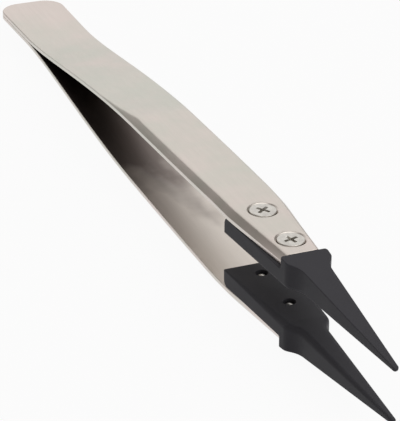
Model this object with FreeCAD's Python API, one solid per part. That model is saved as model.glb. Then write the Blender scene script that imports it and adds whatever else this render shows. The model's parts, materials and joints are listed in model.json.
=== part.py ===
import FreeCAD, Part
import math
import os

from FreeCAD import Placement, Rotation, Vector

# Anti-static tweezers with replaceable tips. Two spring steel arms are welded together at the
# tail. Each arm carries one conductive plastic tip, held by two countersunk screws.
#
# Millimetres and degrees. One arm is drawn as the upper one, with X from the tail to the tips
# and Z = 0 on the plane between the arms. The lower arm is the same part turned over. At the
# end everything is laid down on the flat grip of the lower arm: Z = 0 is the table, and the
# origin is under the middle of the tweezers.

# Tip: a tongue under the arm's front end, a block that fills the end flush, and a long taper
tongue_length = 14.5
tongue_thickness = 2.2
tongue_rear_width = 8.0
tongue_lead_in = 0.60
block_width = 6.0
block_length = 1.3
block_corner_radius = 0.50
neck_length = 3.2
neck_width = 3.5
hollow_rear_share = 0.33
hollow_front_share = 0.65
tip_reach = 24.5
tip_end_width = 0.66
tip_end_thickness = 0.56
tip_end_height = -0.64
tip_end_radius = 0.42
tongue_edge_radius = 0.15
block_edge_radius = 0.75
tip_end_edge_radius = 0.28

# Arm, seen from the side
arm_length = 105.5
leaf_thickness = 0.65
grip_thickness = 1.50
weld_length = 14.0
ramp_start = 47.0
crease_station = 60.0
crease_opening = 4.02
spread_handle_rear = 10.5
spread_handle_front = 19.5
grip_angle = 1.6
bend_to_tongue = 3.0
bend_station = arm_length - tongue_length - bend_to_tongue
bend_radius = 60.0
nose_angle = 0.8

# Arm, seen from above
tail_width = 10.0
tail_corner_radius = 3.2
shoulder_to_front = 13.5
shoulder_station = arm_length - shoulder_to_front
shoulder_width = 8.05
shoulder_radius = 25.0
nose_width = 5.1
waist_handle = 36.0
waist_draw_in = 0.62
fullness_handle = 22.0
fullness = 0.60

# Ground bevels along both long outer edges of an arm
straight_edge = 0.50
bevel_run = 0.80
nose_bevel_run = 0.50
tail_sections = 3
leaf_sections = 8
grip_sections = 3

# Screws, measured back from the arm's front end
front_screw_setback = 3.5
rear_screw_margin = 2.7
screw_spacing = tongue_length - front_screw_setback - rear_screw_margin
head_diameter = 3.7
head_land = 0.15
thread_diameter = 1.6
screw_length = 3.2
screw_hole_clearance = 0.10
recess_width = 0.42
recess_span = 2.1
recess_depth = 0.60
recess_flank_angle = 25.0
rear_recess_turn = 35.0
front_recess_turn = 15.0

# Room that cutting shapes take past the surfaces that they cut
overcut = 1.0


def direction(angle):
    """Unit vector in the XZ plane, at this angle above X."""
    return Vector(math.cos(math.radians(angle)), 0, math.sin(math.radians(angle)))


def outward(angle):
    """Unit normal of a line at this angle, on the outer side of the upper arm."""
    return Vector(-math.sin(math.radians(angle)), 0, math.cos(math.radians(angle)))


def line(start, end):
    return Part.LineSegment(start, end).toShape()


def rounded_corner(corner, towards_start, towards_end, radius):
    """Arc tangent to both legs of a corner, with the two points where it meets them."""
    half_turn = (math.pi - towards_start.getAngle(towards_end)) / 2
    setback = radius * math.tan(half_turn)
    start = corner + towards_start * setback
    end = corner + towards_end * setback
    bisector = (towards_start + towards_end).normalize()
    middle = corner + bisector * radius * (1 / math.cos(half_turn) - 1)
    return start, Part.Arc(start, middle, end).toShape(), end


def prism(edges, extent):
    """Solid of a closed outline, pulled along a vector."""
    return Part.Face(Part.Wire(Part.__sortEdges__(edges))).extrude(extent)


# The arm's side profile

grip = direction(grip_angle)
nose = direction(-nose_angle)
weld_front = Vector(weld_length, 0, 0)
crease_inner = Vector(crease_station, 0, crease_opening)

spread = Part.BezierCurve()
spread.setPoles([
    weld_front,
    weld_front + Vector(spread_handle_rear, 0, 0),
    crease_inner - grip * spread_handle_front,
    crease_inner,
])

bend_inner = crease_inner + grip * ((bend_station - crease_station) / grip.x)
nose_inner = bend_inner + nose * ((arm_length - bend_station) / nose.x)
bisector_angle = (grip_angle - nose_angle) / 2
half_bend = math.radians((grip_angle + nose_angle) / 2)
bend_outer = bend_inner + outward(bisector_angle) * (grip_thickness / math.cos(half_bend))
crease_outer = crease_inner + Vector(0, 0, grip_thickness / grip.x)
nose_outer = nose_inner + outward(-nose_angle) * grip_thickness


def spread_parameter(station):
    """Parameter of the spread curve at a distance from the tail."""
    low, high = 0.0, 1.0
    while high - low > 1e-9:
        middle = (low + high) / 2
        if spread.value(middle).x < station:
            low = middle
        else:
            high = middle
    return low


def inner_height(station):
    """Height of the inner face over the plane between the arms."""
    if station <= weld_length:
        return 0.0
    if station < crease_station:
        return spread.value(spread_parameter(station)).z
    if station < bend_station:
        return crease_inner.z + (station - crease_station) * grip.z / grip.x
    return bend_inner.z + (station - bend_station) * nose.z / nose.x


def arm_profile():
    """Side outline of the arm, in the XZ plane."""
    leaf_rise = Vector(0, 0, leaf_thickness)
    tail_inner = Vector(0, 0, 0)
    leaf_part = spread.copy()
    leaf_part.segment(0, spread_parameter(ramp_start))
    leaf_part.translate(leaf_rise)
    ramp_foot = leaf_part.value(leaf_part.LastParameter)
    inner_start, inner_arc, inner_end = rounded_corner(
        bend_inner, grip * -1, nose, bend_radius)
    outer_start, outer_arc, outer_end = rounded_corner(
        bend_outer, grip * -1, nose, bend_radius + grip_thickness)
    return [
        line(tail_inner, weld_front),
        spread.toShape(),
        line(crease_inner, inner_start),
        inner_arc,
        line(inner_end, nose_inner),
        line(nose_inner, nose_outer),
        line(nose_outer, outer_end),
        outer_arc,
        line(outer_start, crease_outer),
        line(crease_outer, ramp_foot),
        leaf_part.toShape(),
        line(weld_front + leaf_rise, tail_inner + leaf_rise),
        line(tail_inner + leaf_rise, tail_inner),
    ]


# The arm's outline from above

tail_corner = Vector(tail_corner_radius, tail_width / 2, 0)
shoulder = Vector(shoulder_station, shoulder_width / 2, 0)
nose_taper = Vector(arm_length - shoulder_station, (nose_width - shoulder_width) / 2, 0).normalize()
shoulder_lead = Vector(-fullness_handle, fullness, 0).normalize()
shoulder_start, shoulder_arc, shoulder_end = rounded_corner(
    shoulder, shoulder_lead, nose_taper, shoulder_radius)

flank = Part.BezierCurve()
flank.setPoles([
    tail_corner,
    tail_corner + Vector(waist_handle, -waist_draw_in, 0),
    shoulder_start + shoulder_lead * fullness_handle,
    shoulder_start,
])


def half_width(station):
    """Half of the arm's width, with the tail's corners left square."""
    if station <= tail_corner.x:
        return tail_corner.y
    if station >= shoulder_start.x:
        return shoulder.y + (station - shoulder.x) * nose_taper.y / nose_taper.x
    low, high = 0.0, 1.0
    while high - low > 1e-9:
        middle = (low + high) / 2
        if flank.value(middle).x < station:
            low = middle
        else:
            high = middle
    return flank.value(low).y


def arm_outline():
    """Closed outline of the arm from above, run past the front end, which the profile cuts."""
    past_nose = shoulder_end + nose_taper * ((arm_length + overcut - shoulder_end.x) / nose_taper.x)
    corner_centre = Vector(tail_corner_radius, tail_width / 2 - tail_corner_radius, 0)
    corner_middle = corner_centre + Vector(-1, 1, 0).normalize() * tail_corner_radius
    corner_start = corner_centre - Vector(tail_corner_radius, 0, 0)
    side = [
        Part.Arc(corner_start, corner_middle, tail_corner).toShape(),
        flank.toShape(),
        shoulder_arc,
        line(shoulder_end, past_nose),
    ]
    other_side = [edge.mirror(Vector(0, 0, 0), Vector(0, 1, 0)) for edge in side]
    ends = [
        line(corner_start, Vector(corner_start.x, -corner_start.y, 0)),
        line(past_nose, Vector(past_nose.x, -past_nose.y, 0)),
    ]
    return side + other_side + ends


def stations_after(start, end, count):
    """Evenly spaced stations past the start, up to the end."""
    return [start + (end - start) * step / count for step in range(1, count + 1)]


def bevel_cutter():
    """What the grinding takes off one long edge, as a run of triangles along the arm."""
    stations = [-overcut]
    stations += stations_after(0, weld_length, tail_sections)
    stations += stations_after(weld_length, crease_station, leaf_sections)
    stations += stations_after(crease_station, bend_station, grip_sections)
    stations += [shoulder_station, (shoulder_station + arm_length) / 2, arm_length + overcut]
    sections = []
    for station in stations:
        past_shoulder = max(0.0, (station - shoulder_station) / (arm_length - shoulder_station))
        run = bevel_run + (nose_bevel_run - bevel_run) * past_shoulder
        rise = grip_thickness - straight_edge
        low_y = half_width(station) + run * overcut
        high_y = half_width(station) - run * (1 + overcut)
        low_z = inner_height(station) + straight_edge - rise * overcut
        high_z = inner_height(station) + grip_thickness + rise * overcut
        low = Vector(station, low_y, low_z)
        high = Vector(station, high_y, high_z)
        outside = Vector(station, low_y + overcut, high_z)
        sections.append(Part.makePolygon([low, high, outside, low]))
    return Part.makeLoft(sections, True, False)


# Everything that is fastened at the nose is drawn on the nose's own seat: X = 0 at the arm's
# front end, Z = 0 on the inner face, where the tongue lies against the steel

seat = Placement(nose_inner, Rotation(Vector(0, 1, 0), nose_angle))
front_screw_x = -front_screw_setback
rear_screw_x = -front_screw_setback - screw_spacing
head_radius = head_diameter / 2
thread_radius = thread_diameter / 2
cone_foot = grip_thickness - head_land - (head_radius - thread_radius)


def moved(shape, placement):
    """Copy of a shape, carried along by a placement."""
    copy = shape.copy()
    copy.Placement = placement.multiply(copy.Placement)
    return copy


def along_seat(station):
    """Place on the nose's seat, this far in front of the arm's front end."""
    return seat.multiply(Placement(Vector(station, 0, 0), Rotation()))


def screw_seat():
    """Cutter for a screw's countersink and its clearance hole in the steel."""
    hole_radius = thread_radius + screw_hole_clearance
    mouth = head_radius + head_land + overcut
    cone_height = mouth - hole_radius
    cone = Part.makeCone(hole_radius, mouth, cone_height, Vector(0, 0, cone_foot + screw_hole_clearance))
    hole = Part.makeCylinder(hole_radius, grip_thickness + 2 * overcut, Vector(0, 0, -overcut))
    return cone.fuse(hole)


def cross_recess(turn):
    """Cutter for the driver's cross, with flanks that close in with depth."""
    bottom_radius = recess_span / 2 - recess_depth * math.tan(math.radians(recess_flank_angle))
    cone = Part.makeCone(bottom_radius, recess_span / 2, recess_depth)
    slot = Part.makeBox(recess_span, recess_width, recess_depth,
                        Vector(-recess_span / 2, -recess_width / 2, 0))
    crossing = slot.copy()
    crossing.rotate(Vector(0, 0, 0), Vector(0, 0, 1), 90)
    cross = cone.common(slot.fuse(crossing))
    cross.rotate(Vector(0, 0, 0), Vector(0, 0, 1), turn)
    cross.translate(Vector(0, 0, grip_thickness - recess_depth))
    return cross


def screw(turn):
    """Countersunk screw on the Z axis, its head flush with the arm's outer face."""
    tip_z = grip_thickness - screw_length
    outline = [
        Vector(0, 0, grip_thickness),
        Vector(head_radius, 0, grip_thickness),
        Vector(head_radius, 0, grip_thickness - head_land),
        Vector(thread_radius, 0, cone_foot),
        Vector(thread_radius, 0, tip_z),
        Vector(0, 0, tip_z),
        Vector(0, 0, grip_thickness),
    ]
    body = Part.Face(Part.makePolygon(outline)).revolve(Vector(0, 0, 0), Vector(0, 0, 1), 360)
    return body.cut(cross_recess(turn))


def arm():
    """Upper arm: profile and outline crossed, edges bevelled, seats cut for its two screws."""
    width_room = tail_width / 2 + overcut
    height_room = crease_opening + grip_thickness + 10 * overcut
    profile = prism(arm_profile(), Vector(0, 2 * width_room, 0))
    profile.translate(Vector(0, -width_room, 0))
    outline = prism(arm_outline(), Vector(0, 0, height_room))
    outline.translate(Vector(0, 0, -overcut))
    near_cutter = bevel_cutter()
    far_cutter = near_cutter.mirror(Vector(0, 0, 0), Vector(0, 1, 0))
    body = profile.common(outline).cut(near_cutter).cut(far_cutter)
    for station in (rear_screw_x, front_screw_x):
        body = body.cut(moved(screw_seat(), along_seat(station)))
    return body


def tip_profile():
    """Side outline of the tip on the nose's seat."""
    points = [
        Vector(-tongue_length, 0, -tongue_thickness),
        Vector(-tongue_length, 0, -tongue_lead_in),
        Vector(-tongue_length + tongue_lead_in, 0, 0),
        Vector(0, 0, 0),
        Vector(0, 0, grip_thickness),
        Vector(tip_reach, 0, tip_end_height),
        Vector(tip_reach, 0, tip_end_height - tip_end_thickness),
        Vector(block_length, 0, -tongue_thickness),
    ]
    return [line(points[i - 1], points[i]) for i in range(len(points))]


def tip_outline():
    """Outline of the tip from above: tongue and block in one line, hollow neck, straight taper."""
    rear = Vector(-tongue_length, tongue_rear_width / 2, 0)
    block_front = Vector(block_length, block_width / 2, 0)
    neck = Vector(block_length + neck_length, neck_width / 2, 0)
    front = Vector(tip_reach, tip_end_width / 2, 0)
    block_side = (block_front - rear).normalize()
    taper = (front - neck).normalize()
    hollow = Part.BezierCurve()
    hollow.setPoles([
        block_front,
        block_front + block_side * (neck_length * hollow_rear_share),
        neck - taper * (neck_length * hollow_front_share),
        neck,
    ])
    side = [line(rear, block_front), hollow.toShape(), line(neck, front)]
    other_side = [edge.mirror(Vector(0, 0, 0), Vector(0, 1, 0)) for edge in side]
    ends = [line(corner, Vector(corner.x, -corner.y, 0)) for corner in (rear, front)]
    return side + other_side + ends


def is_block_corner(edge):
    """Upright edge at the rear of the block."""
    box = edge.BoundBox
    upright = box.ZLength > box.XLength + box.YLength
    return upright and abs(box.Center.x) < block_length / 2 and box.Center.z > 0


def inner_edge_radii(edge):
    """Rounding radii of a long inner edge at its start and its end, or nothing for other edges."""
    box = edge.BoundBox
    if box.ZMax > tip_end_height - tip_end_thickness / 2 or box.XLength < box.YLength:
        return None
    if box.Center.x < 0:
        radii = (tongue_edge_radius, block_edge_radius)
    elif box.XMin < block_length + neck_length / 2:
        radii = (block_edge_radius, block_edge_radius)
    else:
        radii = (block_edge_radius, tip_end_edge_radius)
    runs_forward = edge.Vertexes[0].X < edge.Vertexes[-1].X
    return radii if runs_forward else radii[::-1]


def round_inner_edges(body):
    """The tip with its inner edges rounded: little at the tongue's rear, most at the block."""
    work = FreeCAD.newDocument("tip")
    base = work.addObject("Part::Feature", "base")
    base.Shape = body
    rounding = work.addObject("Part::Fillet", "rounding")
    rounding.Base = base
    described = [(number, inner_edge_radii(edge)) for number, edge in enumerate(body.Edges, 1)]
    rounding.Edges = [(number, *radii) for number, radii in described if radii]
    work.recompute()
    rounded = rounding.Shape.copy()
    FreeCAD.closeDocument(work.Name)
    return rounded


def end_cutter():
    """What is left over outside the round end of the taper."""
    room = 4 * tip_end_radius
    centre_x = tip_reach - tip_end_radius
    block = Part.makeBox(room, room, room, Vector(centre_x, -room / 2, -room))
    disc = Part.makeCylinder(tip_end_radius, room, Vector(centre_x, 0, -room))
    return block.cut(disc)


def tip():
    """Moulded tip with two screw holes through its tongue."""
    width_room = tongue_rear_width + block_width
    height_room = 2 * (tongue_thickness + grip_thickness)
    profile = prism(tip_profile(), Vector(0, width_room, 0))
    profile.translate(Vector(0, -width_room / 2, 0))
    outline = prism(tip_outline(), Vector(0, 0, 2 * height_room))
    outline.translate(Vector(0, 0, -height_room))
    body = profile.common(outline)
    body = body.makeFillet(block_corner_radius, [edge for edge in body.Edges if is_block_corner(edge)])
    body = round_inner_edges(body).cut(end_cutter())
    for station in (rear_screw_x, front_screw_x):
        hole = Part.makeCylinder(thread_radius, tongue_thickness + 2 * overcut,
                                 Vector(station, 0, -tongue_thickness - overcut))
        body = body.cut(hole)
    return body


upper = {
    "arm": arm(),
    "tip": moved(tip(), seat),
    "rear_screw": moved(screw(rear_recess_turn), along_seat(rear_screw_x)),
    "front_screw": moved(screw(front_recess_turn), along_seat(front_screw_x)),
}

# The lower half is the upper half turned over, and the pair is laid on the lower grip
turned_over = Placement(Vector(0, 0, 0), Rotation(Vector(1, 0, 0), 180))
laid_down = Placement(Vector(0, 0, 0), Rotation(Vector(0, 1, 0), -grip_angle))
pieces = {}
for name, shape in upper.items():
    pieces["upper_" + name] = moved(shape, laid_down)
    pieces["lower_" + name] = moved(shape, laid_down.multiply(turned_over))

box = Part.Compound(list(pieces.values())).optimalBoundingBox()
to_origin = Vector(-box.Center.x, -box.Center.y, -box.ZMin)

os.makedirs("parts", exist_ok=True)
for name, shape in pieces.items():
    shape.translate(to_origin)
    shape.exportStep("parts/" + name + ".step")
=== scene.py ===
import json
import math

import bmesh
import bpy
import numpy as np
from mathutils import Euler, Matrix, Vector

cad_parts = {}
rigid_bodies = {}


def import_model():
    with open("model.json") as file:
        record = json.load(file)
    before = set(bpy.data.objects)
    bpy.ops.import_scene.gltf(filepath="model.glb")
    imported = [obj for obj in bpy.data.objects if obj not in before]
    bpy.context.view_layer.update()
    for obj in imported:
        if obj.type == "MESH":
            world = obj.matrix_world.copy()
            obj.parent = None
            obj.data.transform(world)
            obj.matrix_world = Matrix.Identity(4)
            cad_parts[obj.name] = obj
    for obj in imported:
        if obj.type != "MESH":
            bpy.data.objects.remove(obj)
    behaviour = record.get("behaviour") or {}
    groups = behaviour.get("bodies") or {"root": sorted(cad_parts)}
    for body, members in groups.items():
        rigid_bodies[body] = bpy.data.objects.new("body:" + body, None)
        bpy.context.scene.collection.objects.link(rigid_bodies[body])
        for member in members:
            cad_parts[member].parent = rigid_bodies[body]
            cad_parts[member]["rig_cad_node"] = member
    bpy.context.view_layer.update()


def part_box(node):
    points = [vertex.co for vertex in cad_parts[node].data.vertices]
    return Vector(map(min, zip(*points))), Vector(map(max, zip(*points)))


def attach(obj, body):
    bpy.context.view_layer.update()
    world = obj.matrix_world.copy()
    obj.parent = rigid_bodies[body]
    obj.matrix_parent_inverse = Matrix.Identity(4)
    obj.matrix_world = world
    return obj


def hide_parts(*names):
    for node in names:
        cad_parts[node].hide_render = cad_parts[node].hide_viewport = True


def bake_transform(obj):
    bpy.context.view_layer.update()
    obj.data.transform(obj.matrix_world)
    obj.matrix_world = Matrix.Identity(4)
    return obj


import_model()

# Anti-static tweezers: two welded leaf arms of satin steel, each with a moulded conductive tip
# that two countersunk screws hold. Shapes are drawn in millimetres on the arm's own frame, X
# from the tail to the tips and Z = 0 between the arms, and are then laid where the frame is.

MM = 0.001

# Tip
tongue_length = 14.5
tongue_thickness = 2.2
tongue_rear_width = 8.0
tongue_lead_in = 0.60
block_width = 6.0
block_length = 1.3
block_corner_radius = 0.50
neck_length = 3.2
neck_width = 3.5
hollow_rear_share = 0.33
hollow_front_share = 0.65
tip_reach = 24.5
tip_end_width = 0.66
tip_end_thickness = 0.56
tip_end_height = -0.64
tip_end_radius = 0.42
outer_edge_radius = 0.12
tongue_edge_radius = 0.15
block_edge_radius = 0.75
tip_end_edge_radius = 0.28

# Arm, seen from the side
arm_length = 105.5
leaf_thickness = 0.65
grip_thickness = 1.50
weld_length = 14.0
ramp_start = 47.0
crease_station = 60.0
crease_opening = 4.02
spread_handle_rear = 10.5
spread_handle_front = 19.5
grip_angle = 1.6
bend_to_tongue = 3.0
bend_station = arm_length - tongue_length - bend_to_tongue
bend_radius = 60.0
nose_angle = 0.8

# Arm, seen from above
tail_width = 10.0
tail_corner_radius = 3.2
shoulder_to_front = 13.5
shoulder_station = arm_length - shoulder_to_front
shoulder_width = 8.05
shoulder_radius = 25.0
nose_width = 5.1
waist_handle = 36.0
waist_draw_in = 0.62
fullness_handle = 22.0
fullness = 0.60

# Section along an arm's long edges
straight_edge = 0.50
bevel_run = 0.80
nose_bevel_run = 0.50
inner_edge_radius = 0.09
side_edge_radius = 0.22
bevel_edge_radius = 0.55
nose_edge_chamfer = 0.03
faces_inwards = -0.9

# Screws and their seats
front_screw_setback = 3.5
rear_screw_margin = 2.7
screw_spacing = tongue_length - front_screw_setback - rear_screw_margin
head_diameter = 3.7
head_land = 0.15
head_edge_round = 0.07
head_gap = 0.15
thread_diameter = 1.6
thread_depth = 0.16
thread_pitch = 0.35
thread_runout = 0.12
screw_length = 3.2
end_dome = 0.22
seat_clearance = 0.05
seat_lip = 0.02
recess_width = 0.42
recess_span = 1.95
recess_depth = 0.60
recess_core = 0.80
recess_draft = 32.0
rear_recess_turn = 35.0
front_recess_turn = 15.0


# Curves that the arm's shape is read from

def bezier(poles, steps=2000):
    """Points along a cubic Bezier curve."""
    p = np.array(poles, float)
    t = np.linspace(0, 1, steps + 1)[:, None]
    return (1 - t) ** 3 * p[0] + 3 * t * (1 - t) ** 2 * p[1] + 3 * t ** 2 * (1 - t) * p[2] + t ** 3 * p[3]


grip_slope = math.tan(math.radians(grip_angle))
nose_slope = -math.tan(math.radians(nose_angle))
bend_opening = crease_opening + (bend_station - crease_station) * grip_slope
nose_opening = bend_opening + (arm_length - bend_station) * nose_slope

spread = bezier([
    (weld_length, 0),
    (weld_length + spread_handle_rear, 0),
    (crease_station - spread_handle_front * math.cos(math.radians(grip_angle)),
     crease_opening - spread_handle_front * math.sin(math.radians(grip_angle))),
    (crease_station, crease_opening),
])

turn_length = bend_radius * math.tan(math.radians((grip_angle + nose_angle) / 2))


def bent_line(x, height, slope_in, slope_out, station, half_length):
    """Two straight lines that meet at a station, with the corner rounded over its half length."""
    straight = height + np.where(x < station, (x - station) * slope_in, (x - station) * slope_out)
    near = np.clip(1 - np.abs(x - station) / half_length, 0, 1)
    return straight + (slope_out - slope_in) * half_length / 4 * near ** 2


def inner_height(x):
    """Height of the inner face over the plane between the arms."""
    x = np.asarray(x, float)
    curve = np.interp(x, spread[:, 0], spread[:, 1])
    grip_line = bent_line(x, bend_opening, grip_slope, nose_slope, bend_station, turn_length)
    return np.where(x < weld_length, 0.0, np.where(x < crease_station, curve, grip_line))


ramp_foot = float(inner_height(ramp_start)) + leaf_thickness
grip_rise = grip_thickness / math.cos(math.radians(grip_angle))
crease_height = crease_opening + grip_rise
ramp_slope = (crease_height - ramp_foot) / (crease_station - ramp_start)
crease_softness = 0.35


def outer_height(x):
    """Height of the outer face: leaf, ramp, crease, grip and nose."""
    x = np.asarray(x, float)
    leaf = inner_height(np.minimum(x, ramp_start)) + leaf_thickness
    creased = bent_line(x, crease_height, ramp_slope, grip_slope, crease_station, crease_softness)
    grip_face = inner_height(x) + grip_rise
    past_crease = x > crease_station + crease_softness
    return np.where(x <= ramp_start, leaf, np.where(past_crease, grip_face, creased))


def corner_setback(directions, radius):
    """How far from a corner its rounding starts, along both legs."""
    towards_start, towards_end = [np.array(d, float) / np.linalg.norm(d) for d in directions]
    half_turn = (math.pi - math.acos(float(np.dot(towards_start, towards_end)))) / 2
    return towards_start, towards_end, radius * math.tan(half_turn)


shoulder = np.array([shoulder_station, shoulder_width / 2])
shoulder_lead, nose_taper, shoulder_setback = corner_setback(
    [(-fullness_handle, fullness), (arm_length - shoulder_station, (nose_width - shoulder_width) / 2)],
    shoulder_radius)
shoulder_start = shoulder + shoulder_lead * shoulder_setback
shoulder_end = shoulder + nose_taper * shoulder_setback
flank = bezier([
    (tail_corner_radius, tail_width / 2),
    (tail_corner_radius + waist_handle, tail_width / 2 - waist_draw_in),
    shoulder_start + shoulder_lead * fullness_handle,
    shoulder_start,
])
shoulder_curve = bezier([
    shoulder_start,
    shoulder_start - shoulder_lead * shoulder_setback * 2 / 3,
    shoulder_end - nose_taper * shoulder_setback * 2 / 3,
    shoulder_end,
], 40)
nose_corner = shoulder + nose_taper * (arm_length - shoulder_station) / nose_taper[0]
flank_line = np.vstack([flank, shoulder_curve[1:], nose_corner])


def flank_width(x):
    """Half width of the arm in front of the rounded corners of its tail."""
    return np.interp(x, flank_line[:, 0], flank_line[:, 1])


# Small mesh tools

def rounded_chain(points, radii, steps):
    """Open chain of points in a plane with its corners rounded, the same count for any sizes.

    The points are arrays over the stations. A circle's arc comes from a weighted quadratic curve.
    """
    largest_share = 0.45
    parts = []
    for n in range(1, len(points) - 1):
        before, corner, after = points[n - 1], points[n], points[n + 1]
        to_start, to_end = before - corner, after - corner
        length_in = np.linalg.norm(to_start, axis=1, keepdims=True)
        length_out = np.linalg.norm(to_end, axis=1, keepdims=True)
        to_start, to_end = to_start / length_in, to_end / length_out
        cosine = np.clip(np.sum(to_start * to_end, axis=1, keepdims=True), -1, 1)
        half_turn = (math.pi - np.arccos(cosine)) / 2
        room = largest_share * np.minimum(length_in, length_out)
        setback = np.minimum(radii[n - 1] * np.tan(half_turn), room)
        start, end = corner + to_start * setback, corner + to_end * setback
        weight = np.cos(half_turn)
        for u in np.linspace(0, 1, steps + 1):
            a, b, c = (1 - u) ** 2, 2 * u * (1 - u) * weight, u ** 2
            parts.append((a * start + b * corner + c * end) / (a + b + c))
    return parts


def closed_mesh(name, points, faces):
    """Mesh of a closed shell, its doubles merged and its faces turned outwards."""
    mesh = bpy.data.meshes.new(name)
    mesh.from_pydata([tuple(p) for p in points], [], faces)
    work = bmesh.new()
    work.from_mesh(mesh)
    bmesh.ops.remove_doubles(work, verts=work.verts, dist=1e-5)
    bmesh.ops.dissolve_degenerate(work, edges=work.edges, dist=1e-6)
    bmesh.ops.recalc_face_normals(work, faces=work.faces)
    work.to_mesh(mesh)
    work.free()
    return mesh


def new_object(name, mesh):
    piece = bpy.data.objects.new(name, mesh)
    bpy.context.scene.collection.objects.link(piece)
    return piece


def evaluated(piece, name):
    """Plain mesh of an object with its modifiers, which are then taken off."""
    bpy.context.view_layer.update()
    graph = bpy.context.evaluated_depsgraph_get()
    mesh = bpy.data.meshes.new_from_object(piece.evaluated_get(graph), depsgraph=graph)
    mesh.name = name
    piece.modifiers.clear()
    return mesh


# The arm as rings round its outline, from the inner face over the edge to the outer face

def arm_stations():
    """Outline from the tail's end round its corner to the nose: place and inward normal."""
    turns = np.radians(np.linspace(180, 90, 15))
    centre = np.array([tail_corner_radius, tail_width / 2 - tail_corner_radius])
    radial = np.column_stack([np.cos(turns), np.sin(turns)])
    corner = centre + tail_corner_radius * radial
    crease_reach = 0.4
    bend_reach = 1.3
    nose_reach = 0.6
    runs = [
        np.linspace(tail_corner_radius, weld_length, 9)[1:],
        np.linspace(weld_length, ramp_start, 34)[1:],
        np.linspace(ramp_start, crease_station - crease_reach, 14)[1:],
        crease_station + crease_reach * np.array([-0.5, -0.25, 0.0, 0.25, 0.5, 1.0]),
        np.linspace(crease_station + crease_reach, bend_station - bend_reach, 22)[1:],
        np.linspace(bend_station - bend_reach, bend_station + bend_reach, 6)[1:],
        np.linspace(bend_station + bend_reach, arm_length - nose_reach, 24)[1:],
        [arm_length],
    ]
    x = np.concatenate(runs)
    slope_reach = 0.02
    slope = (flank_width(x) - flank_width(x - slope_reach)) / slope_reach
    inward = np.column_stack([slope, -np.ones_like(x)]) / np.sqrt(1 + slope ** 2)[:, None]
    place = np.vstack([corner, np.column_stack([x, flank_width(x)])])
    return place, np.vstack([-radial, inward])


def edge_chain(x):
    """The section's edge at each station: how far inwards and how high each ring is."""
    total = outer_height(x) - inner_height(x)
    past_shoulder = np.clip((x - shoulder_station) / (arm_length - shoulder_station), 0, 1)
    run = bevel_run + (nose_bevel_run - bevel_run) * past_shoulder
    run = run * (total - straight_edge) / (grip_thickness - straight_edge)
    zero = np.zeros_like(x)
    over_face = 1.5
    points = [
        np.column_stack([zero + over_face, zero]),
        np.column_stack([zero, zero]),
        np.column_stack([zero, zero + straight_edge]),
        np.column_stack([run, total]),
        np.column_stack([run + over_face, total]),
    ]
    chain = rounded_chain(points, [inner_edge_radius, side_edge_radius, bevel_edge_radius], steps=5)
    support = 0.06
    first = chain[0] + [support, 0]
    last = chain[-1] + [support, 0]
    return [first] + chain + [last]


columns_across = 10
shares_across = np.linspace(1, -1, columns_across + 1)[1:-1]


def across(edge_place, height, hand=1):
    """Points from one long edge of the arm to the other at one station."""
    return [(edge_place[0], edge_place[1] * share * hand, height) for share in shares_across]


def face_rows(points, loop, side, height):
    """Rows of point numbers over the inner or outer face, whose own points are added to the list."""
    count = len(side)
    between = len(shares_across)
    far_edge = 2 * count + between - 1
    rows = [[loop[0], *loop[far_edge + 1:][::-1], loop[far_edge]]]
    for i in range(1, count - 1):
        first = len(points)
        points += across(side[i], height[i])
        rows.append([loop[i], *range(first, first + between), loop[far_edge - i]])
    rows.append([loop[count - 1], *loop[count:count + between], loop[count + between]])
    return rows


def arm_mesh():
    """Closed mesh of the upper arm without its screw seats."""
    place, inward = arm_stations()
    chain = edge_chain(place[:, 0])
    nose_thickness = float(outer_height(arm_length) - inner_height(arm_length))
    points, loops, grids = [], [], []
    for ring in chain:
        rise = ring[:, 1]
        side = place + inward * ring[:, :1]
        side[-1] = [arm_length, place[-1, 1] - ring[-1, 0]]
        below_chamfer = max(0.0, nose_edge_chamfer - rise[-1])
        above_chamfer = max(0.0, rise[-1] - nose_thickness + nose_edge_chamfer)
        side[-1, 0] -= below_chamfer + above_chamfer
        height = inner_height(side[:, 0]) + rise
        if ring is chain[-1]:
            height = outer_height(side[:, 0])
        start = len(points)
        points += [(x, y, z) for (x, y), z in zip(side, height)]
        points += across(side[-1], height[-1])
        points += [(x, -y, z) for (x, y), z in zip(side[::-1], height[::-1])]
        points += across(side[0], height[0], hand=-1)
        loop = list(range(start, len(points)))
        loops.append(loop)
        if ring is chain[0] or ring is chain[-1]:
            grids.append(face_rows(points, loop, side, height))
    faces = []
    for lower, upper in zip(loops, loops[1:]):
        for n in range(len(lower)):
            m = (n + 1) % len(lower)
            faces.append((lower[n], lower[m], upper[m], upper[n]))
    for rows in grids:
        for row, next_row in zip(rows, rows[1:]):
            for j in range(columns_across):
                faces.append((row[j], row[j + 1], next_row[j + 1], next_row[j]))
    return closed_mesh("arm", points, faces)


# The tip as sections along X

block_side = np.array([block_length + tongue_length, (block_width - tongue_rear_width) / 2])
block_side = block_side / np.linalg.norm(block_side)
neck_station = block_length + neck_length
tip_taper = np.array([tip_reach - neck_station, (tip_end_width - neck_width) / 2])
tip_taper = tip_taper / np.linalg.norm(tip_taper)
hollow = bezier([
    (block_length, block_width / 2),
    np.array([block_length, block_width / 2]) + block_side * neck_length * hollow_rear_share,
    np.array([neck_station, neck_width / 2]) - tip_taper * neck_length * hollow_front_share,
    (neck_station, neck_width / 2),
], 200)


def tip_half_width(x):
    """Half width of tongue, block, neck and taper, with a round end."""
    if x < block_length:
        return block_width / 2 + (x - block_length) * block_side[1] / block_side[0]
    if x < neck_station:
        return float(np.interp(x, hollow[:, 0], hollow[:, 1]))
    half = neck_width / 2 + (x - neck_station) * tip_taper[1] / tip_taper[0]
    away = x - tip_reach + tip_end_radius
    if away <= 0:
        return half
    return min(half, math.sqrt(max(0.0, tip_end_radius ** 2 - away ** 2)))


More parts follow.
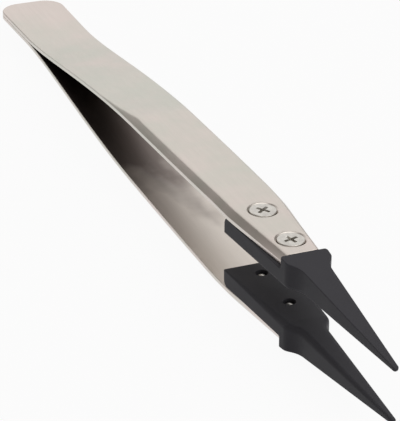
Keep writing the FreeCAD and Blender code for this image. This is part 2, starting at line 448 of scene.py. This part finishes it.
def inner_radius(x):
    """Rounding of the inner edges: little at the tongue's rear, most at the block."""
    if x < block_length:
        share = (x + tongue_length) / (block_length + tongue_length)
        return tongue_edge_radius + (block_edge_radius - tongue_edge_radius) * share
    share = max(0.0, x - neck_station) / (tip_reach - neck_station)
    return block_edge_radius + (tip_end_edge_radius - block_edge_radius) * share


def tip_section(x, half, upper_half, heights, steps=6):
    """Closed section of the tip: a wide lower part and, above the ledge, a part that may be narrower.

    The roundings shrink where the section is too small for them.
    """
    low, ledge, high = heights
    outer_room = 0.45
    inner_room_across = 0.85
    inner_room_up = 0.8
    support = 0.04
    support_room = 0.3
    outer = min(outer_edge_radius, outer_room * upper_half, outer_room * (high - ledge))
    brim = min(outer_edge_radius, outer_room * max(0.0, half - upper_half))
    inner = min(inner_radius(x), inner_room_across * half, inner_room_up * (ledge - low))
    side = [(upper_half - outer - min(support, support_room * upper_half), high)]
    for u in np.radians(np.linspace(90, 0, steps + 1)):
        side.append((upper_half - outer + outer * math.cos(u), high - outer + outer * math.sin(u)))
    side.append((upper_half, ledge))
    for u in np.radians(np.linspace(90, 0, 4)):
        side.append((half - brim + brim * math.cos(u), ledge - brim + brim * math.sin(u)))
    for u in np.radians(np.linspace(0, -90, steps + 3)):
        side.append((half - inner + inner * math.cos(u), low + inner + inner * math.sin(u)))
    side.append((half - inner - min(support, support_room * (half - inner)), low))
    return [(x, y, z) for y, z in side] + [(x, -y, z) for y, z in side[::-1]]


def loft(name, sections):
    """Closed mesh through sections with equal point counts, and over both ends."""
    count = len(sections[0])
    points = [p for section in sections for p in section]
    faces = [tuple(range(count)), tuple(range(len(points) - count, len(points)))]
    for s in range(len(sections) - 1):
        for n in range(count):
            m = (n + 1) % count
            faces.append((s * count + n, s * count + m, (s + 1) * count + m, (s + 1) * count + n))
    return closed_mesh(name, points, faces)


def inner_line(x):
    """Height of the tip's inner face."""
    past_block = max(0.0, x - block_length) / (tip_reach - block_length)
    return -tongue_thickness + (tip_end_height - tip_end_thickness + tongue_thickness) * past_block


def outer_line(x):
    """Height of the tip's outer face in front of the arm."""
    return grip_thickness + (tip_end_height - grip_thickness) * x / tip_reach


def tip_mesh():
    """Tongue, block, hollow neck and long taper in one skin.

    Each section is a station, the half widths below and above the ledge, and three heights.
    """
    rear_inset = 0.10
    past_lead_in = 1.2
    end_squeeze = 0.75
    end_turns = np.radians([20, 38, 52, 64, 74, 82, 87])
    rear_half = block_width / 2 - block_corner_radius
    sections = []
    turns = np.radians(np.linspace(0, 90, 7))
    for u in turns:
        forward = rear_inset * (1 - math.cos(u))
        drop = rear_inset * (1 - math.sin(u))
        x = -tongue_length + forward
        heights = (-tongue_thickness + drop, -tongue_lead_in - drop, -tongue_lead_in - drop)
        sections.append((x, tip_half_width(x) - drop, rear_half, heights))
    for u in turns[1:]:
        x = -tongue_length + rear_inset + tongue_lead_in * (1 - math.cos(u))
        top = -tongue_lead_in * (1 - math.sin(u))
        sections.append((x, tip_half_width(x), rear_half, (-tongue_thickness, top, top)))
    for x in np.linspace(-tongue_length + past_lead_in, 0, 22):
        sections.append((x, tip_half_width(x), rear_half, (-tongue_thickness, 0.0, 0.0)))
    for u in np.radians(np.linspace(0, 90, 10)):
        x = block_corner_radius * (1 - math.cos(u))
        narrow = block_corner_radius * (1 - math.sin(u))
        rim = max(0.0, outer_edge_radius - x)
        fall = outer_edge_radius - math.sqrt(outer_edge_radius ** 2 - rim ** 2)
        heights = (-tongue_thickness, 0.0, outer_line(x) - fall)
        sections.append((x, tip_half_width(x), tip_half_width(x) - narrow, heights))
    stations = list(np.linspace(block_corner_radius, block_length, 5)[1:])
    stations += list(np.linspace(block_length, neck_station, 17)[1:])
    stations += list(np.linspace(neck_station, tip_reach - tip_end_radius, 26)[1:])
    stations += list(tip_reach - tip_end_radius * (1 - np.sin(end_turns)))
    ledge_share = tongue_thickness / (tongue_thickness + outer_line(block_corner_radius))
    for x in stations:
        low, high = inner_line(x), outer_line(x)
        away = max(0.0, x - tip_reach + tip_end_radius / 2) / (tip_end_radius / 2)
        squeeze = (high - low) / 2 * (1 - math.sqrt(max(0.0, 1 - end_squeeze * away ** 2)))
        low, high = low + squeeze, high - squeeze
        ledge = low + (high - low) * ledge_share
        sections.append((x, tip_half_width(x), tip_half_width(x), (low, ledge, high)))
    return loft("tip", [tip_section(*section) for section in sections])


# Trees and shaders are written through three small classes

class Socket:
    """An output of a node, for use in expressions."""

    def __init__(self, graph, link):
        self.graph = graph
        self.link = link

    def math(self, operation, *others):
        return self.graph.calculate(operation, self, *others)

    def __add__(self, other):
        return self.math("ADD", other)

    def __sub__(self, other):
        return self.math("SUBTRACT", other)

    def __mul__(self, other):
        return self.math("MULTIPLY", other)

    def __truediv__(self, other):
        return self.math("DIVIDE", other)

    def __rsub__(self, other):
        return self.graph.calculate("SUBTRACT", other, self)


class Node:
    """A node whose outputs are read by name."""

    def __init__(self, graph, node):
        self.graph = graph
        self.node = node

    def __getitem__(self, name):
        return Socket(self.graph, self.graph.find(self.node.outputs, name))


class Graph:
    """Adds nodes to a tree and links them."""

    def __init__(self, tree):
        self.tree = tree

    def find(self, sockets, name):
        """A socket by its place, its identifier or the name that it shows."""
        if isinstance(name, int):
            return sockets[name]
        for socket in sockets:
            if socket.identifier == name:
                return socket
        for socket in sockets:
            if socket.name == name and socket.enabled:
                return socket
        raise KeyError(name)

    def add(self, kind, settings=None, inputs=None):
        """One node: its settings first, then the values or links of its inputs."""
        node = self.tree.nodes.new(kind)
        for name, value in (settings or {}).items():
            setattr(node, name, value)
        for name, value in (inputs or {}).items():
            socket = self.find(node.inputs, name)
            for single in (value if isinstance(value, list) else [value]):
                if isinstance(single, Socket):
                    self.tree.links.new(single.link, socket)
                else:
                    socket.default_value = single
        return Node(self, node)

    def calculate(self, operation, *values):
        return self.add("ShaderNodeMath", {"operation": operation}, dict(enumerate(values)))["Value"]

    def ramp(self, value, low, high):
        """A share that goes from 0 to 1 as the value goes from low to high."""
        limits = {"Value": value, "From Min": low, "From Max": high}
        return self.add("ShaderNodeMapRange", {}, limits)["Result"]

    def mix(self, share, first, second):
        """The first colour at a share of 0, the second at 1."""
        inputs = {"Factor_Float": share, "A_Color": first, "B_Color": second}
        return self.add("ShaderNodeMix", {"data_type": "RGBA"}, inputs)["Result_Color"]

    def xyz(self, **parts):
        return self.add("ShaderNodeCombineXYZ", {}, parts)["Vector"]


# Materials

def new_material(name):
    """Material with an empty tree, and the tree's graph."""
    material = bpy.data.materials.new(name)
    material.use_nodes = True
    material.node_tree.nodes.clear()
    graph = Graph(material.node_tree)
    return material, graph


def finish_material(graph, values):
    """Puts the shader with these inputs on the surface."""
    shader = graph.add("ShaderNodeBsdfPrincipled", {}, values)
    graph.add("ShaderNodeOutputMaterial", {}, {"Surface": shader["BSDF"]})


def bump(graph, height, strength, depth):
    """Normal bent by a height between 0 and 1, for a relief this many metres deep."""
    inputs = {"Strength": strength, "Distance": depth, "Height": height}
    return graph.add("ShaderNodeBump", {}, inputs)["Normal"]


def noise(graph, place, scale, detail=2.0, stretch=(1, 1, 1)):
    """Noise between 0 and 1 on the object's own coordinates, in features per metre."""
    stretched = graph.add("ShaderNodeMapping", {}, {"Vector": place, "Scale": stretch})["Vector"]
    inputs = {"Vector": stretched, "Scale": scale, "Detail": detail}
    return graph.add("ShaderNodeTexNoise", {}, inputs)["Fac"]


def satin_steel(name, pale, warm, roughness):
    """Steel with a fine lengthwise satin and cloudy patches, and painted shade on its inner face: dark
    brown from the weld at the tail to about the middle, for the dark gap between the arms.
    """
    # Painted shade on the inner face: full until this X, gone from that X, with a wandering edge
    shade_until = -0.016
    unshaded_from = 0.006
    drift_reach = 0.085
    patch_reach = 0.015
    # The inner face's grey, the dark brown of its painted shade, and the grey of the satin streaks
    inner_grey = (0.66, 0.61, 0.56, 1)
    shade_brown = (0.19, 0.155, 0.14, 1)
    streak_grey = (0.42, 0.40, 0.38, 1)

    material, graph = new_material(name)
    place = graph.add("ShaderNodeTexCoord")["Object"]
    clouds = noise(graph, place, 40.0, 3.0)
    patches = noise(graph, place, 260.0, 4.0)
    drift = noise(graph, place, 120.0, 3.0, (0.4, 1, 1))
    satin = noise(graph, place, 6000.0, 3.0, (0.03, 1, 1))
    scratches = noise(graph, place, 1500.0, 2.0, (0.02, 1, 1))
    pits = noise(graph, place, 9000.0, 2.0)

    tone = graph.ramp(clouds * 0.75 + patches * 0.25, 0.40, 0.60)
    polished = graph.mix(tone, (*pale, 1), (*warm, 1))
    along = graph.add("ShaderNodeSeparateXYZ", {}, {"Vector": place})["X"]
    # Painted shade: the inner face is mixed towards dark brown from the tail to a wavy line near the
    # middle, standing in for the shade in the gap between the arms
    wandering = along + (drift - 0.5) * drift_reach + (patches - 0.5) * patch_reach
    gap_shade = 1 - graph.ramp(wandering, shade_until, unshaded_from)
    shaded_inner = graph.mix(gap_shade, inner_grey, shade_brown)
    inner_face = graph.add("ShaderNodeAttribute", {"attribute_name": "inner_face"})["Fac"]
    streaks = graph.ramp(satin * 0.6 + scratches * 0.4, 0.3, 0.7)
    colour = graph.mix(streaks * 0.10, graph.mix(inner_face, polished, shaded_inner), streak_grey)

    rough = (tone - 0.5) * 0.05 + streaks * 0.06 + (roughness - 0.03)
    relief = bump(graph, satin * 0.5 + scratches * 0.35 + pits * 0.15, 0.35, 0.00002)
    finish_material(graph, {"Base Color": colour, "Metallic": 1.0, "Roughness": rough, "Normal": relief})
    return material


def moulded_plastic(name):
    """Carbon-filled plastic: near black, matt, with a fine moulded texture."""
    darkest = (0.032, 0.031, 0.037, 1)
    palest = (0.041, 0.040, 0.047, 1)

    material, graph = new_material(name)
    place = graph.add("ShaderNodeTexCoord")["Object"]
    grain = noise(graph, place, 7000.0, 3.0)
    waves = noise(graph, place, 300.0, 2.0)
    tone = graph.ramp(waves * 0.7 + grain * 0.3, 0.3, 0.7)
    finish_material(graph, {
        "Base Color": graph.mix(tone, darkest, palest),
        "Roughness": tone * 0.08 + 0.54,
        "Specular IOR Level": 0.20,
        "Normal": bump(graph, grain * 0.7 + waves * 0.3, 0.25, 0.00003),
    })
    return material


def turned_steel(name):
    """Screw steel with the rings that turning leaves round its axis."""
    bright = (0.66, 0.64, 0.60, 1)
    dull = (0.56, 0.54, 0.51, 1)
    ring_waves = 95.0

    material, graph = new_material(name)
    place = graph.add("ShaderNodeTexCoord")["Object"]
    from_axis = graph.add("ShaderNodeAttribute", {"attribute_name": "from_axis"})["Fac"]
    rings = (from_axis * ring_waves).math("SINE") * 0.5 + 0.5
    patches = noise(graph, place, 1500.0, 3.0)
    finish_material(graph, {
        "Base Color": graph.mix(graph.ramp(patches, 0.35, 0.65), bright, dull),
        "Metallic": 1.0,
        "Roughness": patches * 0.12 + 0.24,
        "Normal": bump(graph, rings * 0.6 + patches * 0.4, 0.25, 0.000015),
    })
    return material


arm_steel = satin_steel("arm_satin_steel", (0.585, 0.58, 0.52), (0.70, 0.625, 0.585), 0.33)
screw_steel = turned_steel("screw_turned_steel")
tip_plastic = moulded_plastic("tip_moulded_plastic")


# Seats: where the screws go on the upper arm, with the head's direction

seat_turn = Matrix.Rotation(math.radians(nose_angle), 4, "Y")
nose_seat = Matrix.Translation((arm_length, 0, nose_opening)) @ seat_turn
head_direction = nose_seat.to_3x3() @ Vector((0, 0, 1))
screw_stations = (-front_screw_setback - screw_spacing, -front_screw_setback)


def seat_points(name):
    """Two points on the inner face, each with the turn of its screw's recess."""
    mesh = bpy.data.meshes.new(name)
    mesh.from_pydata([tuple(nose_seat @ Vector((station, 0, 0))) for station in screw_stations], [], [])
    turns = mesh.attributes.new("recess_turn", "FLOAT", "POINT")
    turns.data.foreach_set("value", [math.radians(rear_recess_turn), math.radians(front_recess_turn)])
    return new_object(name, mesh)


def profile_points(name, corners):
    """Polyline of radius and height that a turned part is made from."""
    mesh = bpy.data.meshes.new(name)
    mesh.from_pydata([(radius, 0, height) for radius, height in corners], [], [])
    return new_object(name, mesh)


def tree_inputs(tree, wanted):
    """Named inputs of a geometry tree with their first values."""
    tree.interface.new_socket("Geometry", in_out="INPUT", socket_type="NodeSocketGeometry")
    tree.interface.new_socket("Geometry", in_out="OUTPUT", socket_type="NodeSocketGeometry")
    for name, (kind, value) in wanted.items():
        socket = tree.interface.new_socket(name, in_out="INPUT", socket_type=kind)
        if value is not None:
            socket.default_value = value


def set_inputs(modifier, values):
    """Sets a modifier's inputs by the identifiers of its tree's sockets."""
    for item in modifier.node_group.interface.items_tree:
        if item.item_type == "SOCKET" and item.in_out == "INPUT" and item.name in values:
            modifier[item.identifier] = values[item.name]


def turned_body(graph, profile, around):
    """Grid for a turned body, with the radius, height and angle that each of its points goes to.

    The grid's rows take their radius and height from the profile's points.
    """
    shape = graph.add("GeometryNodeObjectInfo", {}, {"Object": profile})["Geometry"]
    rows = graph.add("GeometryNodeAttributeDomainSize", {"component": "MESH"}, {"Geometry": shape})
    columns = around + 1.0
    grid = graph.add("GeometryNodeMeshGrid", {}, {
        "Size X": 1.0, "Size Y": 1.0, "Vertices X": rows["Point Count"], "Vertices Y": columns})
    index = graph.add("GeometryNodeInputIndex")["Index"]
    row = (index / columns).math("FLOOR")
    step = index.math("MODULO", columns)
    place = graph.add("GeometryNodeInputPosition")["Position"]
    sampled = graph.add("GeometryNodeSampleIndex", {"data_type": "FLOAT_VECTOR", "domain": "POINT"},
                        {"Geometry": shape, "Value": place, "Index": row})["Value"]
    radius_height = graph.add("ShaderNodeSeparateXYZ", {}, {"Vector": sampled})
    angle = step / around * (2 * math.pi)
    return grid["Mesh"], radius_height["X"], radius_height["Z"], angle


def placed_grid(graph, mesh, radius, height, angle):
    """The grid bent round the axis, with its seam and poles closed."""
    merge_distance = 0.0005
    position = graph.xyz(X=radius * angle.math("COSINE"), Y=radius * angle.math("SINE"), Z=height)
    bent = graph.add("GeometryNodeSetPosition", {}, {"Geometry": mesh, "Position": position})
    outward = graph.add("GeometryNodeFlipFaces", {}, {"Mesh": bent["Geometry"]})
    return graph.add("GeometryNodeMergeByDistance", {}, {
        "Geometry": outward["Mesh"], "Distance": merge_distance})["Geometry"]


def combined(graph, operation, inputs):
    """Solids cut, joined or crossed with each other."""
    settings = {"operation": operation, "solver": "EXACT"}
    return graph.add("GeometryNodeMeshBoolean", settings, inputs)["Mesh"]


def moved(graph, geometry, **change):
    return graph.add("GeometryNodeTransform", {}, {"Geometry": geometry, **change})["Geometry"]


def on_seats(graph, seats, body, direction):
    """One body on each seat, its axis along the head's direction and turned by the seat's turn."""
    turn = graph.add("GeometryNodeInputNamedAttribute", {"data_type": "FLOAT"}, {"Name": "recess_turn"})
    upright = graph.add("FunctionNodeAlignRotationToVector", {"axis": "Z"}, {"Vector": direction})
    spin = graph.add("FunctionNodeAxisAngleToRotation", {}, {
        "Axis": (0, 0, 1), "Angle": turn["Attribute"]})
    rotation = graph.add("FunctionNodeRotateRotation", {"rotation_space": "LOCAL"}, {
        "Rotation": upright["Rotation"], "Rotate By": spin["Rotation"]})
    placed = graph.add("GeometryNodeInstanceOnPoints", {}, {
        "Points": seats, "Instance": body, "Rotation": rotation["Rotation"]})
    return graph.add("GeometryNodeRealizeInstances", {}, {"Geometry": placed["Instances"]})["Geometry"]


def finish_tree(graph, geometry, material):
    """Ends a tree in real meshes with their material."""
    whole = graph.add("GeometryNodeRealizeInstances", {}, {"Geometry": geometry})["Geometry"]
    coated = graph.add("GeometryNodeSetMaterial", {}, {"Geometry": whole, "Material": material})
    graph.add("NodeGroupOutput", {}, {"Geometry": coated["Geometry"]})


def cut_tree():
    """Cuts one turned hole or seat at each seat point out of a piece."""
    tree = bpy.data.node_groups.new("turned cuts", "GeometryNodeTree")
    tree_inputs(tree, {
        "Seats": ("NodeSocketObject", None),
        "Profile": ("NodeSocketObject", None),
        "Direction": ("NodeSocketVector", (0, 0, 1)),
        "Around": ("NodeSocketFloat", 64.0),
        "Material": ("NodeSocketMaterial", None),
    })
    graph = Graph(tree)
    given = graph.add("NodeGroupInput")
    seats = graph.add("GeometryNodeObjectInfo", {}, {"Object": given["Seats"]})["Geometry"]
    body = placed_grid(graph, *turned_body(graph, given["Profile"], given["Around"]))
    cutters = on_seats(graph, seats, body, given["Direction"])
    cut = combined(graph, "DIFFERENCE", {"Mesh 1": given["Geometry"], "Mesh 2": cutters})
    finish_tree(graph, cut, given["Material"])
    return tree


def threaded_body(graph, given):
    """Turned screw with a helical groove below its head."""
    crest_share = 1.25
    shank_share = 0.49
    mesh, radius, height, angle = turned_body(graph, given["Profile"], given["Around"])
    winding = (height / given["Thread Pitch"] + angle / (2 * math.pi)).math("FRACT")
    groove = 1 - ((winding * 2 - 1).math("ABSOLUTE") * crest_share).math("MINIMUM", 1.0)
    below_head = height.math("LESS_THAN", given["Thread Top"])
    on_shank = radius.math("GREATER_THAN", given["Thread Diameter"] * shank_share)
    depth = groove * given["Thread Depth"] * (below_head * on_shank)
    return placed_grid(graph, mesh, radius - depth, height, angle)


def cross_recess(graph, given):
    """The driver's cross at the origin, as a solid: two wings and a core, narrowed by a cone."""
    core_mouth_share = 0.62
    core_foot_share = 0.3
    deep = given["Recess Depth"] * 2
    half_down = graph.xyz(Z=given["Recess Depth"] * -1.0)
    wing_size = graph.xyz(X=given["Recess Span"], Y=given["Recess Width"], Z=deep)
    wing = graph.add("GeometryNodeMeshCube", {}, {"Size": wing_size})["Mesh"]
    crossing = moved(graph, wing, Rotation=Euler((0, 0, math.pi / 2)))
    core = graph.add("GeometryNodeMeshCone", {}, {
        "Vertices": 24, "Radius Top": given["Recess Core"] * core_mouth_share,
        "Radius Bottom": given["Recess Core"] * core_foot_share, "Depth": deep})["Mesh"]
    core = moved(graph, core, Translation=half_down)
    cross = combined(graph, "UNION", {"Mesh 2": [wing, crossing, core]})
    mouth = given["Recess Span"] / 2
    draft = given["Recess Depth"] * given["Recess Draft"].math("TANGENT")
    cone = graph.add("GeometryNodeMeshCone", {}, {
        "Vertices": 48, "Radius Top": mouth + draft, "Radius Bottom": mouth - draft, "Depth": deep})["Mesh"]
    cone = moved(graph, cone, Translation=half_down)
    return combined(graph, "INTERSECT", {"Mesh 2": [cross, cone]})


def screw_tree():
    """Countersunk screws on the seats: turned head, thread and the driver's cross."""
    tree = bpy.data.node_groups.new("countersunk screws", "GeometryNodeTree")
    tree_inputs(tree, {
        "Profile": ("NodeSocketObject", None),
        "Direction": ("NodeSocketVector", (0, 0, 1)),
        "Around": ("NodeSocketFloat", 72.0),
        "Thread Top": ("NodeSocketFloat", 0.2),
        "Thread Diameter": ("NodeSocketFloat", 1.6),
        "Thread Pitch": ("NodeSocketFloat", 0.35),
        "Thread Depth": ("NodeSocketFloat", 0.16),
        "Head Height": ("NodeSocketFloat", 1.5),
        "Recess Span": ("NodeSocketFloat", 2.1),
        "Recess Width": ("NodeSocketFloat", 0.42),
        "Recess Depth": ("NodeSocketFloat", 0.6),
        "Recess Core": ("NodeSocketFloat", 0.8),
        "Recess Draft": ("NodeSocketFloat", math.radians(25)),
        "Material": ("NodeSocketMaterial", None),
    })
    graph = Graph(tree)
    given = graph.add("NodeGroupInput")
    body = threaded_body(graph, given)
    place = graph.add("GeometryNodeInputPosition")["Position"]
    flat = graph.add("ShaderNodeVectorMath", {"operation": "MULTIPLY"}, {0: place, 1: (1, 1, 0)})
    from_axis = graph.add("ShaderNodeVectorMath", {"operation": "LENGTH"}, {0: flat["Vector"]})
    lift = graph.xyz(Z=given["Head Height"])
    recess = moved(graph, cross_recess(graph, given), Translation=lift)
    cut = combined(graph, "DIFFERENCE", {"Mesh 1": body, "Mesh 2": recess})
    marked = graph.add("GeometryNodeStoreNamedAttribute", {"data_type": "FLOAT", "domain": "POINT"}, {
        "Geometry": cut, "Name": "from_axis", "Value": from_axis["Value"]})
    screws = on_seats(graph, given["Geometry"], marked["Geometry"], given["Direction"])
    finish_tree(graph, screws, given["Material"])
    return tree


cuts = cut_tree()
seats = seat_points("seats")
head_radius = head_diameter / 2
thread_radius = thread_diameter / 2
cone_foot = grip_thickness - head_land - (head_radius - thread_radius)
cutter_reach = 1.0


def seat_profile():
    """Countersink and clearance hole, cut past both faces of the steel."""
    hole = thread_radius + seat_clearance
    mouth = hole + grip_thickness - cone_foot - seat_clearance
    return [
        (0, -cutter_reach),
        (hole, -cutter_reach),
        (hole, cone_foot + seat_clearance),
        (mouth - seat_lip, grip_thickness - seat_lip),
        (mouth + 3 * seat_lip, grip_thickness + seat_lip),
        (mouth + cutter_reach, grip_thickness + cutter_reach),
        (0, grip_thickness + cutter_reach),
    ]


def hole_profile():
    """Hole through the tongue, with its mouth slightly broken."""
    face = -tongue_thickness
    broken_edge = 0.06
    broken_width = 0.10
    flare = 0.6
    return [
        (0, face - cutter_reach),
        (thread_radius + flare, face - flare),
        (thread_radius + broken_width, face - broken_edge),
        (thread_radius, face + broken_edge),
        (thread_radius, cutter_reach),
        (0, cutter_reach),
    ]


def screw_profile():
    """Turned shape of a screw, from the middle of its end up to the middle of its head."""
    end = grip_thickness - screw_length
    end_chamfer = 0.18
    neck = 0.05
    points_per_turn = 8
    rim = head_radius - head_gap
    edge = head_edge_round
    dome = [(0, 1.0), (0.2, 0.92), (0.4, 0.66), (0.55, 0.3)]
    dome_rim = (thread_radius - end_chamfer, end + 0.02)
    face_rings = (rim - 0.15, 1.3, 0.7, 0)
    profile = [(radius, end - share * end_dome) for radius, share in dome] + [dome_rim]
    shank = np.arange(end + end_chamfer, cone_foot - neck, thread_pitch / points_per_turn)
    profile += [(thread_radius, height) for height in shank]
    profile += [(thread_radius, cone_foot), (rim, grip_thickness - head_land)]
    for u in np.radians([0, 30, 60, 90]):
        profile.append((rim - edge + edge * math.cos(u), grip_thickness - edge + edge * math.sin(u)))
    return profile + [(radius, grip_thickness) for radius in face_rings]


def with_cuts(piece, profile, material):
    """Mesh of a piece with a turned cut at each seat."""
    modifier = piece.modifiers.new("cuts", "NODES")
    modifier.node_group = cuts
    set_inputs(modifier, {
        "Seats": seats, "Profile": profile, "Direction": head_direction, "Material": material})
    return evaluated(piece, piece.name)


def smooth(mesh):
    """Smooth shading, apart from edges that turn by more than 32 degrees."""
    sharp_from = math.radians(32.0)
    mesh.polygons.foreach_set("use_smooth", [True] * len(mesh.polygons))
    mesh.set_sharp_from_angle(angle=sharp_from)
    mesh.update()


arm_blank = new_object("arm_blank", arm_mesh())
arm_cut = with_cuts(arm_blank, profile_points("seat_profile", seat_profile()), arm_steel)
smooth(arm_cut)
# The faces that face the other arm, where the steel's material paints its shade
facing_inwards = [1.0 if face.normal.z < faces_inwards else 0.0 for face in arm_cut.polygons]
arm_cut.attributes.new("inner_face", "FLOAT", "FACE").data.foreach_set("value", facing_inwards)

tip_blank = new_object("tip_blank", tip_mesh())
tip_blank.data.transform(nose_seat)
tip_cut = with_cuts(tip_blank, profile_points("hole_profile", hole_profile()), tip_plastic)
smooth(tip_cut)
tip_blank.data = tip_cut
weighting = tip_blank.modifiers.new("flat faces first", "WEIGHTED_NORMAL")
weighting.keep_sharp = True
tip_cut = evaluated(tip_blank, "tip")

screw_blank = seat_points("screw_blank")
turning = screw_blank.modifiers.new("screws", "NODES")
turning.node_group = screw_tree()
set_inputs(turning, {
    "Profile": profile_points("screw_profile", screw_profile()),
    "Direction": head_direction,
    "Thread Top": cone_foot - thread_runout,
    "Thread Diameter": thread_diameter,
    "Thread Pitch": thread_pitch,
    "Thread Depth": thread_depth,
    "Head Height": grip_thickness,
    "Recess Span": recess_span,
    "Recess Width": recess_width,
    "Recess Depth": recess_depth,
    "Recess Core": recess_core,
    "Recess Draft": math.radians(recess_draft),
    "Material": screw_steel,
})
screw_pair = evaluated(screw_blank, "screws")
smooth(screw_pair)

# Blanks, seats and profiles have done their work
for helper in [o for o in bpy.context.scene.objects if o.type == "MESH" and "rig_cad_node" not in o]:
    bpy.data.objects.remove(helper)

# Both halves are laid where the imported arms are
upper_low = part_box("upper_arm")[0]
lower_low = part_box("lower_arm")[0]
tail_place = Matrix.Translation(((upper_low.x + lower_low.x) / 2, 0, upper_low.z))
laid_down = tail_place @ Matrix.Rotation(math.radians(-grip_angle), 4, "Y") @ Matrix.Scale(MM, 4)
turned_over = Matrix.Rotation(math.pi, 4, "X")

for half, place in (("upper", laid_down), ("lower", laid_down @ turned_over)):
    for kind, mesh, nodes, slot in (
            ("arm_leaf", arm_cut, ["arm"], "arm_steel"),
            ("tip_moulding", tip_cut, ["tip"], "tip_plastic"),
            ("screw_pair", screw_pair, ["rear_screw", "front_screw"], "screw_steel")):
        own = mesh.copy()
        own.transform(place)
        piece = new_object(half + "_" + kind, own)
        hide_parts(*[half + "_" + node for node in nodes])
        if kind == "arm_leaf" and half == "upper":
            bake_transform(piece)
        else:
            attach(piece, half + "_half")


# Stage, lamps and camera

def stage_white():
    """Floor that camera and mirror rays see as plain white, and that other rays see as grey paper."""
    paper_grey = (0.55, 0.55, 0.55, 1)
    glow_share = 0.94
    material, graph = new_material("stage_white")
    rays = graph.add("ShaderNodeLightPath")
    mirrored = rays["Is Glossy Ray"] + rays["Is Transmission Ray"]
    seen = (rays["Is Camera Ray"] + mirrored).math("MINIMUM", 1.0)
    paper = graph.add("ShaderNodeBsdfDiffuse", {}, {"Color": paper_grey})["BSDF"]
    glow = graph.add("ShaderNodeEmission", {}, {"Color": (1, 1, 1, 1), "Strength": 1.0})["Emission"]
    both = graph.add("ShaderNodeMixShader", {}, {0: seen * glow_share, 1: paper, 2: glow})["Shader"]
    graph.add("ShaderNodeOutputMaterial", {}, {"Surface": both})
    return material


floor_reach = 2.0
floor_corners = [(x * floor_reach, y * floor_reach, 0) for x, y in ((-1, -1), (1, -1), (1, 1), (-1, 1))]
floor_mesh = bpy.data.meshes.new("floor")
floor_mesh.from_pydata(floor_corners, [], [(0, 1, 2, 3)])
floor_mesh.materials.append(stage_white())
floor = new_object("floor", floor_mesh)

world = bpy.data.worlds.new("studio")
bpy.context.scene.world = world
world.use_nodes = True
room = world.node_tree.nodes["Background"]
room.inputs["Color"].default_value = (1.0, 0.95, 0.90, 1)
room.inputs["Strength"].default_value = 0.28


def softbox(name, direction, size, radiance):
    """Soft lamp, this wide and high, that faces the tweezers."""
    distance = 0.9
    lamp = bpy.data.lights.new(name, "AREA")
    lamp.shape = "RECTANGLE"
    lamp.size, lamp.size_y = size
    lamp.energy = radiance * math.pi * size[0] * size[1]
    holder = bpy.data.objects.new(name, lamp)
    bpy.context.scene.collection.objects.link(holder)
    away = Vector(direction).normalized()
    holder.location = away * distance
    holder.rotation_mode = "QUATERNION"
    holder.rotation_quaternion = away.to_track_quat("Z", "Y")


softbox("back_softbox", direction=(-0.80, 0.13, 0.49), size=(1.15, 0.95), radiance=0.72)
softbox("top_softbox", direction=(0.35, 0.0, 1.0), size=(0.8, 0.9), radiance=1.2)
softbox("front_softbox", direction=(0.70, 0.60, 0.65), size=(1.2, 1.1), radiance=1.05)

camera_data = bpy.data.cameras.new("camera")
camera = bpy.data.objects.new("camera", camera_data)
bpy.context.scene.collection.objects.link(camera)
camera_data.sensor_width = 36.0
camera_data.lens = 180.88
camera_data.clip_start = 0.01
camera.location = (0.23783, -0.09570, 0.13305)
camera.rotation_euler = [math.radians(angle) for angle in (62.330, -0.816, 67.785)]
bpy.context.scene.camera = camera
bpy.context.scene.view_settings.view_transform = "Standard"
